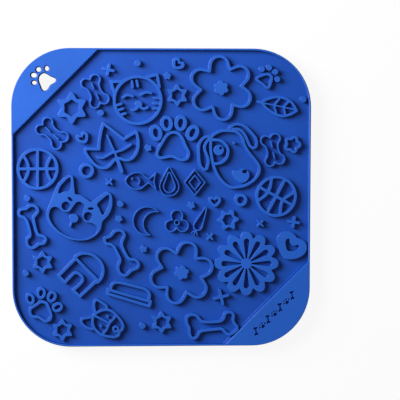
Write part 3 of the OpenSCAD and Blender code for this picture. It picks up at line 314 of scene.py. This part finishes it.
def softened(points, crisp, keep=None):
    # how a finer ring is woven from an outline's corners: at each one a parabola from a point on the edge
    # before to a point on the edge after, each as far from the corner as is cut off there
    _, _, turn, after = mitres(points)
    before = np.roll(after, 1)
    bend = np.degrees(np.abs(turn))
    alikeTurn = [np.abs(np.roll(turn, k) - turn) < weaving["likeTurn"] for k in (1, -1)]
    onArc = (alikeTurn[0] | alikeTurn[1]) & (np.abs(before - after) < weaving["likeSide"] * after)
    most = np.where(bend > weaving["blunt"], 2 * crisp, weaving["gentleCut"])
    most = np.where(bend > weaving["sharp"], crisp, most)
    most = np.where(onArc, weaving["arcCut"], most)
    cut = np.minimum(np.minimum(before, after) / 2, most)
    if keep is not None:
        cut[keep] = mat["weld"] * 2
    count = np.clip(np.ceil(bend / weaving["stepTurn"]), 1, weaving["mostSteps"]).astype(int) + 1
    corner = np.repeat(np.arange(len(points)), count)
    step = np.arange(len(corner)) - np.repeat(np.cumsum(count) - count, count)
    t = step / (np.repeat(count, count) - 1)
    wBefore = (1 - t) ** 2 * (cut / before)[corner]
    wAfter = t ** 2 * (cut / after)[corner]
    meets = np.roll(cut, 1) + cut > before - 1e-6
    kept = ~((step == 0) & meets[corner])    # where two cuts meet on a side, one point serves both
    n = len(points)
    place = np.stack([(corner - 1) % n, corner, (corner + 1) % n], 1)[kept]
    weight = np.stack([wBefore, 1 - wBefore - wAfter, wAfter], 1)[kept]
    return lambda values: (values[place] * weight[..., None]).sum(1)


def carried(points, walls, inset, height, crisp):
    # a profile of insets and heights carried along an outline. A corner stops where it would come
    # nearer to another wall, and its height then is the profile's at that inset.
    both = mitres(points)[0]
    weave = softened(points, crisp)
    reach = []
    for way in (1, -1):
        most = max(0.0, (inset * way).max())
        steps = np.linspace(0, most, weaving["tries"] + 1)[1:]
        near = [nearWall(points + both * way * s, *walls, weaving["clear"] * s) for s in steps]
        held = np.cumsum(np.stack(near, 1), 1) > 0
        reach.append(np.where(held, 0, steps).max(1))
    crest = slice(-weaving["crestPoints"], None)
    rings = []
    for wish, tall in zip(inset, height):
        own = np.clip(wish, -reach[1], reach[0])
        if wish > 0:
            tall = np.where(own == wish, tall, np.interp(own, inset[crest], height[crest]))
        tall = np.broadcast_to(tall, len(points))
        rings.append(weave(np.column_stack([points + both * own[:, None], tall])))
    return np.array(rings)


def carriedByEdge(points, insets, height, crisp, keep=None):
    # a profile with its own insets for each edge: a corner moves by the mean of its two edges' insets
    # along both mitres, and by half their difference along the step apart
    both, apart, _, _ = mitres(points)
    weave = softened(points, crisp, keep)
    rings = []
    for after, tall in zip(insets, height):
        before = np.roll(after, 1)
        flat = points + both * ((after + before) / 2)[:, None] + apart * ((after - before) / 2)[:, None]
        rings.append(weave(np.column_stack([flat, np.full(len(points), tall)])))
    return np.array(rings)


# The edges that all the pieces share
edges = {
    "sink": 0.25,          # how far a wall reaches below the sheet's face
    "tuck": 0.4,           # share of the foot's rounding by which it stands out down there
    "band": 0.06,          # level band inside each rounded edge
    "steps": 5, "footSteps": 4,   # points on a quarter round, and on one at a wall's foot
}


def quarter(steps):
    # the angles of a quarter round
    return np.linspace(0, math.pi / 2, steps)


def footEdge(foot):
    # a quarter round out of the sheet's face into a wall, begun below that face, as insets and heights
    q = quarter(edges["footSteps"])
    inset = np.concatenate([[-foot * edges["tuck"]], -foot * (1 - np.sin(q))])
    height = mat["floor"] + np.concatenate([[-edges["sink"]], foot * (1 - np.cos(q))])
    return inset, height


def upperEdge(crest, draft=0.0, steps=edges["steps"]):
    # a quarter round from a wall into the top, past the wall's draft, and a level band
    p = quarter(steps)
    inset = np.concatenate([draft + crest * (1 - np.cos(p)), [draft + crest + edges["band"]]])
    height = mat["top"] - crest + np.concatenate([crest * np.sin(p), [crest]])
    return inset, height


def lowerEdge(edge):
    # a level band and a quarter round up from the underside into a wall
    q = quarter(edges["steps"])
    inset = np.concatenate([[edge + edges["band"]], edge * (1 - np.sin(q))])
    height = mat["underside"] + np.concatenate([[0], edge * (1 - np.cos(q))])
    return inset, height


def leanedEdge(crest, height):
    # the insets of a quarter round of another radius at given heights: the radius less the root of its
    # square less the height's square
    above = np.clip(height - (mat["top"] - crest), 0, crest)
    return crest - np.sqrt(crest ** 2 - above ** 2)


def skinned(rings, offset):
    # the quads between the rings of one loop, seen from outside
    k, n = rings.shape[:2]
    i = np.arange(n)
    j = np.roll(i, -1)
    low = (np.arange(k - 1) * n)[:, None]
    quads = np.stack([low + i, low + j, low + n + j, low + n + i], 2).reshape(-1, 4)
    return quads + offset


def makePiece(name, shells, caps, nodes):
    # shells are stacks of rings; each cap says which shells it closes, at which ring, whether it faces up,
    # and which way the loops turn round what it fills
    offsets = np.cumsum([0] + [s.shape[0] * s.shape[1] for s in shells])
    points = [s.reshape(-1, 3) for s in shells]
    faces = [q for s, o in zip(shells, offsets) for q in skinned(s, o).tolist()]
    total = offsets[-1]
    for members, level, facesUp, inside in caps:
        loops = [shells[m][level] for m in members]
        ids = np.concatenate([offsets[m] + (level % shells[m].shape[0]) * shells[m].shape[1]
                              + np.arange(shells[m].shape[1]) for m in members])
        places, triangles, came = fill([loop[:, :2] for loop in loops], inside)
        came = np.array(came)
        fresh = came < 0
        index = np.where(fresh, total + np.cumsum(fresh) - 1, ids[came])
        if fresh.any():
            points.append(np.column_stack([places[fresh], np.full(fresh.sum(), loops[0][:, 2].max())]))
            total += int(fresh.sum())
        net = index[triangles]
        faces += (net if facesUp else net[:, ::-1]).tolist()
    mesh = bpy.data.meshes.new(name)
    mesh.from_pydata((np.concatenate(points) * mm).tolist(), [], faces)
    work = bmesh.new()
    work.from_mesh(mesh)
    bmesh.ops.remove_doubles(work, verts=work.verts, dist=mat["weld"] * mm)
    bmesh.ops.dissolve_degenerate(work, edges=work.edges, dist=mat["weld"] * mm / 4)
    work.to_mesh(mesh)
    work.free()
    return finished(name, mesh, nodes)


def finished(name, mesh, nodes):
    # a mesh made a piece: its skin, its body, the nodes that it stands for and its slot
    mesh.shade_smooth()
    mesh.set_sharp_from_angle(angle=math.radians(mat["smoothAngle"]))
    mesh.materials.append(siliconeSkin)
    piece = bpy.data.objects.new(name, mesh)
    bpy.context.scene.collection.objects.link(piece)
    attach(piece, "root")
    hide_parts(*nodes)
    return piece


# The raised pattern's edges: each is a length, and as a share of the figure's line where that is less
relief = {
    "crest": 0.14, "crestShare": 0.09,   # rounding along the top
    "foot": 0.16, "footShare": 0.12,     # rounding where the wall meets the sheet
    "crisp": 0.45, "crispShare": 0.4,    # what is cut off a sharp corner
    "draft": 0.04,
    "crestSteps": 6,
}


def raised(name, nodes, width):
    # one raised figure: a foot, a slight draft and a crest, carried along all its outlines
    loops = outlines(nodes, mat["top"])
    walls = wallOf(loops)
    crest, foot, crisp = (min(relief[edge], relief[edge + "Share"] * width)
                          for edge in ("crest", "foot", "crisp"))
    low, lowHeight = footEdge(foot)
    top, topHeight = upperEdge(crest, relief["draft"], relief["crestSteps"])
    inset = np.concatenate([low, top])
    height = np.concatenate([lowHeight, topHeight])
    shells = [carried(loop, walls, inset, height, crisp) for loop in loops]
    every = list(range(len(shells)))
    return makePiece(name, shells, [(every, -1, True, 1), (every, 0, False, 1)], nodes)


# the raised figures: the nodes of each, and the width of its narrowest line
figures = {
    "catFace": (["cat_face", "cat_features"], 1.9),
    "houndFace": (["hound_face"], 2.1),
    "puppyFace": (["puppy_face"], 1.9),
    "calfFace": (["calf_face"], 1.7),
    "topFlower": (["flower_top"], 2.1),
    "bottomFlower": (["flower_bottom"], 2.1),
    "daisy": (["daisy"], 2.1),
    "ringBlossom": (["ring_blossom"], 2.1),
    "smallBlossoms": (["blossoms"], 2.1),
    "pointedLeaf": (["pointed_leaf"], 1.9),
    "ivyLeaf": (["ivy_leaf"], 1.9),
    "leftBone": (["long_bone_left"], 2.1),
    "middleBone": (["long_bone_middle"], 2.1),
    "bottomBone": (["long_bone_bottom"], 2.1),
    "largePaw": (["paw_large"], 2.1),
    "middlePaw": (["paw_middle"], 2.1),
    "smallPaw": (["paw_small"], 1.9),
    "leftBall": (["ball_left"], 2.1),
    "rightBall": (["ball_right"], 2.1),
    "kennel": (["kennel"], 2.1),
    "comb": (["comb"], 1.8),
    "largeHeart": (["large_heart"], 2.1),
    "largeStar": (["large_star"], 2.1),
    "leftRing": (["ring_left"], 2.3),
    "rightRing": (["ring_right"], 2.3),
    "largeCross": (["large_cross"], 2.1),
    "dots": (["dots"], 2.4),
    "fish": (["fish"], 0.9),
    "drop": (["drop"], 0.9),
    "lozenge": (["lozenge"], 0.9),
    "crescent": (["crescent"], 0.9),
    "trefoil": (["trefoil"], 0.9),
    "carrot": (["carrot"], 0.9),
    "topSmallBone": (["small_bone_top"], 1.2),
    "leftSmallBone": (["small_bone_left"], 1.2),
    "rightSmallBone": (["small_bone_right"], 1.2),
}
for n in range(1, 6):
    figures[f"star{n}"] = ([f"star_{n}"], 2.1)
for n in range(1, 3):
    figures[f"cross{n}"] = ([f"cross_{n}"], 2.1)
for n in range(1, 4):
    figures[f"slantCross{n}"] = ([f"slant_cross_{n}"], 1.5)
    figures[f"smallHeart{n}"] = ([f"small_heart_{n}"], 1.9)

for name, (nodes, width) in figures.items():
    raised(name, nodes, width)
print("raised figures made:", len(figures))

# The mat's border: sheet, rims and solid corners. Their outer edges are flush with each other.
border = {
    "lowerEdge": 0.5,      # rounding of the sheet's lower edge
    "crest": 0.35,         # rounding of the solid corners' upper edges
    "hangCrest": 0.9,      # rounding of the upper edge that faces the pattern, on the hanging corner
    "gripCrest": 0.35,     # and on the grip corner, at the top of its slope
    "gripSlope": 1.3,      # width of that slope
    "rimCrest": 0.62,      # rounding of the rims' upper edges, which makes the rims nearly half round
    "foot": 0.2,           # rounding where a wall meets the sheet
    "draft": 0.05,
    "overlap": 2.2,        # how far the rims' ends run into the solid corners
    "flush": 0.015,        # the rims' outer face stands in by this, so that no two faces coincide
    "lower": 0.004,        # their tops lie lower by this, for the same reason
    "under": 0.3,          # how far their outer face stands in below the sheet's face
    "holeEdge": 0.3,       # rounding of the hanging hole's edges
    "holeDraft": 0.55,     # how far the hole's walls lean in from the top to the underside
    "crisp": 0.3,          # what is cut off a sharp corner
    "onLine": 0.02,        # how near to a line a point lies on it
    "slack": 0.05,         # how near an edge is to the sheet's own, or to 45 degrees in its two legs
}
sunk = {"depth": 1.2, "crest": 0.12, "foot": 0.12}    # the grip corner's marks and their roundings


def alongDiagonal(points, a, b):
    # which edges of an outline lie on the line through a and b
    run = (b - a) / np.linalg.norm(b - a)
    on = np.abs((points - a) @ np.array([-run[1], run[0]])) < border["onLine"]
    return on & np.roll(on, -1)


def matSheet():
    # the sheet: a rounded lower edge and an upright side along its outline, and an upright side alone
    # along both slants, which the solid corners hide
    points = sheetOutline[0]
    slant = alongDiagonal(points, *hangLine) | alongDiagonal(points, *gripLine)
    low, lowHeight = lowerEdge(border["lowerEdge"])
    inset = np.concatenate([low, [0]])
    height = np.concatenate([lowHeight, [mat["floor"]]])
    table = np.stack([inset, np.zeros(len(inset))], 1)
    keep = slant | np.roll(slant, 1)
    rings = carriedByEdge(points, table[:, slant.astype(int)], height, border["crisp"], keep)
    return makePiece("sheet", [rings], [([0], -1, True, 1), ([0], 0, False, 1)], ["mat_sheet"])


def rim(name, node):
    # one rim: a foot, a draft and a round crest towards the pattern, the crest alone on the outside, and
    # ends that run on into the solid corners
    points = outlines([node], mat["top"])[0]
    end = alongDiagonal(points, *hangLine) | alongDiagonal(points, *gripLine)
    middle = (points + np.roll(points, -1, 0)) / 2
    outer = nearWall(middle, *wallOf(sheetOutline), border["slack"]) & ~end
    foot, footHeight = footEdge(border["foot"])
    top, topHeight = upperEdge(border["rimCrest"], border["draft"])
    upright = [[border["under"]], np.full(len(foot) - 1, border["flush"])]
    flush = np.concatenate([*upright, upperEdge(border["rimCrest"])[0]])
    inset = np.concatenate([foot, top])
    height = np.concatenate([footHeight, topHeight - border["lower"]])
    table = np.stack([inset, flush, np.full(len(inset), -border["overlap"])], 1)
    kinds = np.where(end, 2, np.where(outer, 1, 0))
    rings = carriedByEdge(points, table[:, kinds], height, border["crisp"], end | np.roll(end, 1))
    return makePiece(name, [rings], [([0], -1, True, 1), ([0], 0, False, 1)], [node])


def solidCorner(name, node, slope, innerCrest, sunkDepth=0.0):
    # a solid corner from the underside to the top. Its outer edge is rounded below and above; its slanted
    # edge has a foot, a slope and a crest. Holes go through it, or marks are sunk in it.
    loops = outlines([node], mat["top"])
    outside = int(np.argmax([np.ptp(loop, axis=0).max() for loop in loops]))
    points = loops.pop(outside)
    length = np.linalg.norm(np.roll(points, -1, 0) - points, axis=1)
    slant = length == length.max()
    low, lowHeight = lowerEdge(border["lowerEdge"])
    foot, footHeight = footEdge(border["foot"])
    topHeight = upperEdge(max(border["crest"], innerCrest))[1]
    outerTop, innerTop = (leanedEdge(crest, topHeight) for crest in (border["crest"], innerCrest))
    outerTop[-1] += edges["band"]
    innerTop[-1] += edges["band"]
    outer = np.concatenate([low, np.zeros(len(foot)), outerTop])
    diagonal = np.concatenate([np.full(len(low), -slope), foot - slope, innerTop])
    height = np.concatenate([lowHeight, footHeight, topHeight])
    table = np.stack([outer, diagonal], 1)
    keep = slant | np.roll(slant, 1)
    shells = [carriedByEdge(points, table[:, slant.astype(int)], height, border["crisp"], keep)]
    if sunkDepth:
        q = quarter(edges["footSteps"])
        top, topHeight = upperEdge(sunk["crest"])
        inset = np.concatenate([-sunk["foot"] * (1 - np.sin(q)), top])
        height = np.concatenate([mat["top"] - sunkDepth + sunk["foot"] * (1 - np.cos(q)), topHeight])
    else:
        inset, height = (np.concatenate(both) for both in zip(lowerEdge(border["holeEdge"]),
                                                              upperEdge(border["holeEdge"])))
        inset -= border["holeDraft"] * (mat["top"] - height) / (mat["top"] - mat["underside"])
    for loop in loops:
        shells.append(carriedByEdge(loop, np.tile(inset[:, None], len(loop)), height, border["crisp"]))
    every = list(range(len(shells)))
    caps = [(every, -1, True, 1)]
    if sunkDepth:
        caps += [([0], 0, False, 1)] + [([k], 0, True, -1) for k in every[1:]]
    else:
        caps += [(every, 0, False, 1)]
    return makePiece(name, shells, caps, [node])


# The slanted edges of the two solid corners: the longest edges of the sheet at 45 degrees
sheetOutline = outlines(["mat_sheet"], mat["floor"])
starts, ends = wallOf(sheetOutline)
runs = np.abs(ends - starts)
slanted = np.flatnonzero(np.abs(runs[:, 0] - runs[:, 1]) < border["slack"])
slanted = slanted[np.argsort(np.linalg.norm(runs[slanted], axis=1))][-2:]
lines = sorted(((starts[i], ends[i]) for i in slanted), key=lambda line: line[0][1] - line[0][0])
gripLine, hangLine = lines
matSheet()
rim("rightRim", "rim_right")
rim("leftRim", "rim_left")
solidCorner("hangingCorner", "hanging_corner", 0.0, border["hangCrest"])
solidCorner("gripCorner", "grip_corner", border["gripSlope"], border["gripCrest"], sunk["depth"])
print("sheet, rims and solid corners made")

# Suction cups: a neck under the sheet that flares into a thin round lip, hollow below
cups = {
    "radius": 11, "neck": 4,
    "lip": 0.7,            # thickness of the lip
    "pitch": 32, "rows": 6,
    "shoulder": 2.9,       # height where the neck ends and the bell begins
    "hollow": 2.3,         # height of the hollow's middle
    "root": 0.8,           # rounding where the neck meets the sheet
    "buried": 0.3,         # how far the neck reaches into the sheet
    "fall": 1.5,           # power of the bell's fall
    "steps": 60,           # points round a cup
    "bellSteps": 12, "lipSteps": 7, "domeSteps": 10,
}


def cupProfile():
    # outside: a neck with a rounded root, then a bell whose height falls as one less share to a power;
    # a half round lip; inside: a shallow dome that falls as one less share squared
    radius, neck, lip, root = cups["radius"], cups["neck"], cups["lip"], cups["root"]
    q = quarter(edges["steps"])
    top = [neck + root, mat["underside"] + cups["buried"]]
    side = np.stack([neck + root * (1 - np.sin(q)), mat["underside"] - root * (1 - np.cos(q))], 1)
    u = np.linspace(0, 1, cups["bellSteps"])[1:]
    bell = np.stack([neck + (radius - lip / 2 - neck) * u,
                     lip + (cups["shoulder"] - lip) * (1 - u) ** cups["fall"]], 1)
    turn = np.linspace(math.pi / 2, -math.pi / 2, cups["lipSteps"])[1:]
    edge = np.stack([radius - lip / 2 + lip / 2 * np.cos(turn), lip / 2 + lip / 2 * np.sin(turn)], 1)
    v = np.linspace(1, 0, cups["domeSteps"])[1:-1]
    dome = np.stack([(radius - lip / 2) * v, cups["hollow"] * (1 - v ** 2)], 1)
    return np.concatenate([[top], side, bell, edge, dome])


def suctionCups():
    # the profile turned round each cup's axis; the cups stand in rows, with none at the four corners
    profile = cupProfile()
    angle = np.linspace(0, 2 * math.pi, cups["steps"], endpoint=False)
    ring = np.stack([np.cos(angle), np.sin(angle)], 1)
    half = (cups["rows"] - 1) / 2
    row = np.arange(-half, half + 1)
    spots = np.stack(np.meshgrid(row, row), 2).reshape(-1, 2)
    spots = spots[np.abs(spots).sum(1) < 2 * half] * cups["pitch"]
    m, n = len(profile), len(angle)
    flat = profile[:, None, :1] * ring[None]
    one = np.concatenate([flat, np.broadcast_to(profile[:, None, 1:], (m, n, 1))], 2).reshape(-1, 3)
    one = np.concatenate([one, [[0, 0, cups["hollow"]], [0, 0, profile[0, 1]]]])
    i = np.arange(n)
    j = np.roll(i, -1)
    low = (np.arange(m - 1) * n)[:, None]
    quads = np.stack([low + i, low + n + i, low + n + j, low + j], 2).reshape(-1, 4)
    inner = np.stack([(m - 1) * n + i, np.full(n, m * n), (m - 1) * n + j], 1)
    outer = np.stack([i, j, np.full(n, m * n + 1)], 1)
    points = (one[None] + np.column_stack([spots, np.zeros(len(spots))])[:, None]).reshape(-1, 3)
    shift = np.arange(len(spots)) * len(one)
    faces = []
    for block in (quads, inner, outer):
        faces += (block[None] + shift[:, None, None]).reshape(-1, block.shape[1]).tolist()
    mesh = bpy.data.meshes.new("suctionCups")
    mesh.from_pydata((points * mm).tolist(), [], faces)
    return finished("suctionCups", mesh, ["suction_cups"])


suctionCups()
print("suction cups made")

# The studio: a pale table, one large softbox at the upper left, and a dim pale room
studio = {
    "reach": 3.0,          # m, half the table's side
    "room": "#FFFFFF",
    "table": "#F0F0F0", "tableShare": 0.09,   # the part of the table's look that shades with the light
    "softbox": 0.58, "watts": 22.6, "place": (-0.72, 0.432, 0.47),   # m
    "aim": (0, 0.6, 0),    # m, feathered past the mat's upper edge, which evens the light from top to bottom
    "fill": 0.19,          # the room's light on the mat, where white is 1
    "gloss": 0.03,         # what a sheen shows of the room, and of the table in the mat's shade
}


def paleRoom(tree, fill, gloss):
    # strength for a world or a table: 1 where the camera looks straight or through something clear,
    # gloss in a sheen, and fill for the light that it sheds
    path = addNode(tree, "ShaderNodeLightPath")
    clear = addNode(tree, "ShaderNodeMath", {"operation": "MAXIMUM"})
    tree.links.new(path.outputs["Is Camera Ray"], clear.inputs[0])
    tree.links.new(path.outputs["Is Transmission Ray"], clear.inputs[1])
    seen = addNode(tree, "ShaderNodeMath", {"operation": "MULTIPLY_ADD"},
                   {1: 1 - fill, 2: fill}, {0: (clear, "Value")})
    return addNode(tree, "ShaderNodeMath", {"operation": "MULTIPLY_ADD"},
                   {1: gloss - fill}, {0: (path, "Is Glossy Ray"), 2: (seen, "Value")})


def paleTable():
    # matt card: it keeps the mat's shadow, and the rest of its look is an even white
    material = bpy.data.materials.new("mattCard")
    material.use_nodes = True
    tree = material.node_tree
    tree.nodes.clear()
    lit = addNode(tree, "ShaderNodeBsdfDiffuse", inputs={"Color": linear(studio["table"])})
    seen = paleRoom(tree, 0, studio["gloss"])
    glow = addNode(tree, "ShaderNodeEmission", inputs={"Color": linear(studio["room"])},
                   links={"Strength": (seen, "Value")})
    share = addNode(tree, "ShaderNodeMixShader", inputs={"Fac": 1 - studio["tableShare"]},
                    links={1: (lit, "BSDF"), 2: (glow, "Emission")})
    addNode(tree, "ShaderNodeOutputMaterial", links={"Surface": (share, "Shader")})
    mesh = bpy.data.meshes.new("tableTop")
    r = studio["reach"]
    mesh.from_pydata([(-r, -r, 0), (r, -r, 0), (r, r, 0), (-r, r, 0)], [], [(0, 1, 2, 3)])
    mesh.materials.append(material)
    table = bpy.data.objects.new("tableTop", mesh)
    bpy.context.scene.collection.objects.link(table)


def paleWorld():
    # the dim room all round
    world = bpy.data.worlds.new("paleRoom")
    bpy.context.scene.world = world
    world.use_nodes = True
    tree = world.node_tree
    tree.nodes.clear()
    level = paleRoom(tree, studio["fill"], studio["gloss"])
    sky = addNode(tree, "ShaderNodeBackground", inputs={"Color": linear(studio["room"])},
                  links={"Strength": (level, "Value")})
    addNode(tree, "ShaderNodeOutputWorld", links={"Surface": (sky, "Background")})


def softbox():
    # the one lamp, turned to its aim
    lamp = bpy.data.lights.new("softbox", "AREA")
    lamp.shape = "SQUARE"
    lamp.size = studio["softbox"]
    lamp.energy = studio["watts"]
    key = bpy.data.objects.new("softbox", lamp)
    key.location = studio["place"]
    key.rotation_euler = (Vector(studio["aim"]) - key.location).to_track_quat("-Z", "Y").to_euler()
    bpy.context.scene.collection.objects.link(key)


paleTable()
paleWorld()
softbox()
bpy.context.scene.view_settings.view_transform = "Standard"
print("studio made")
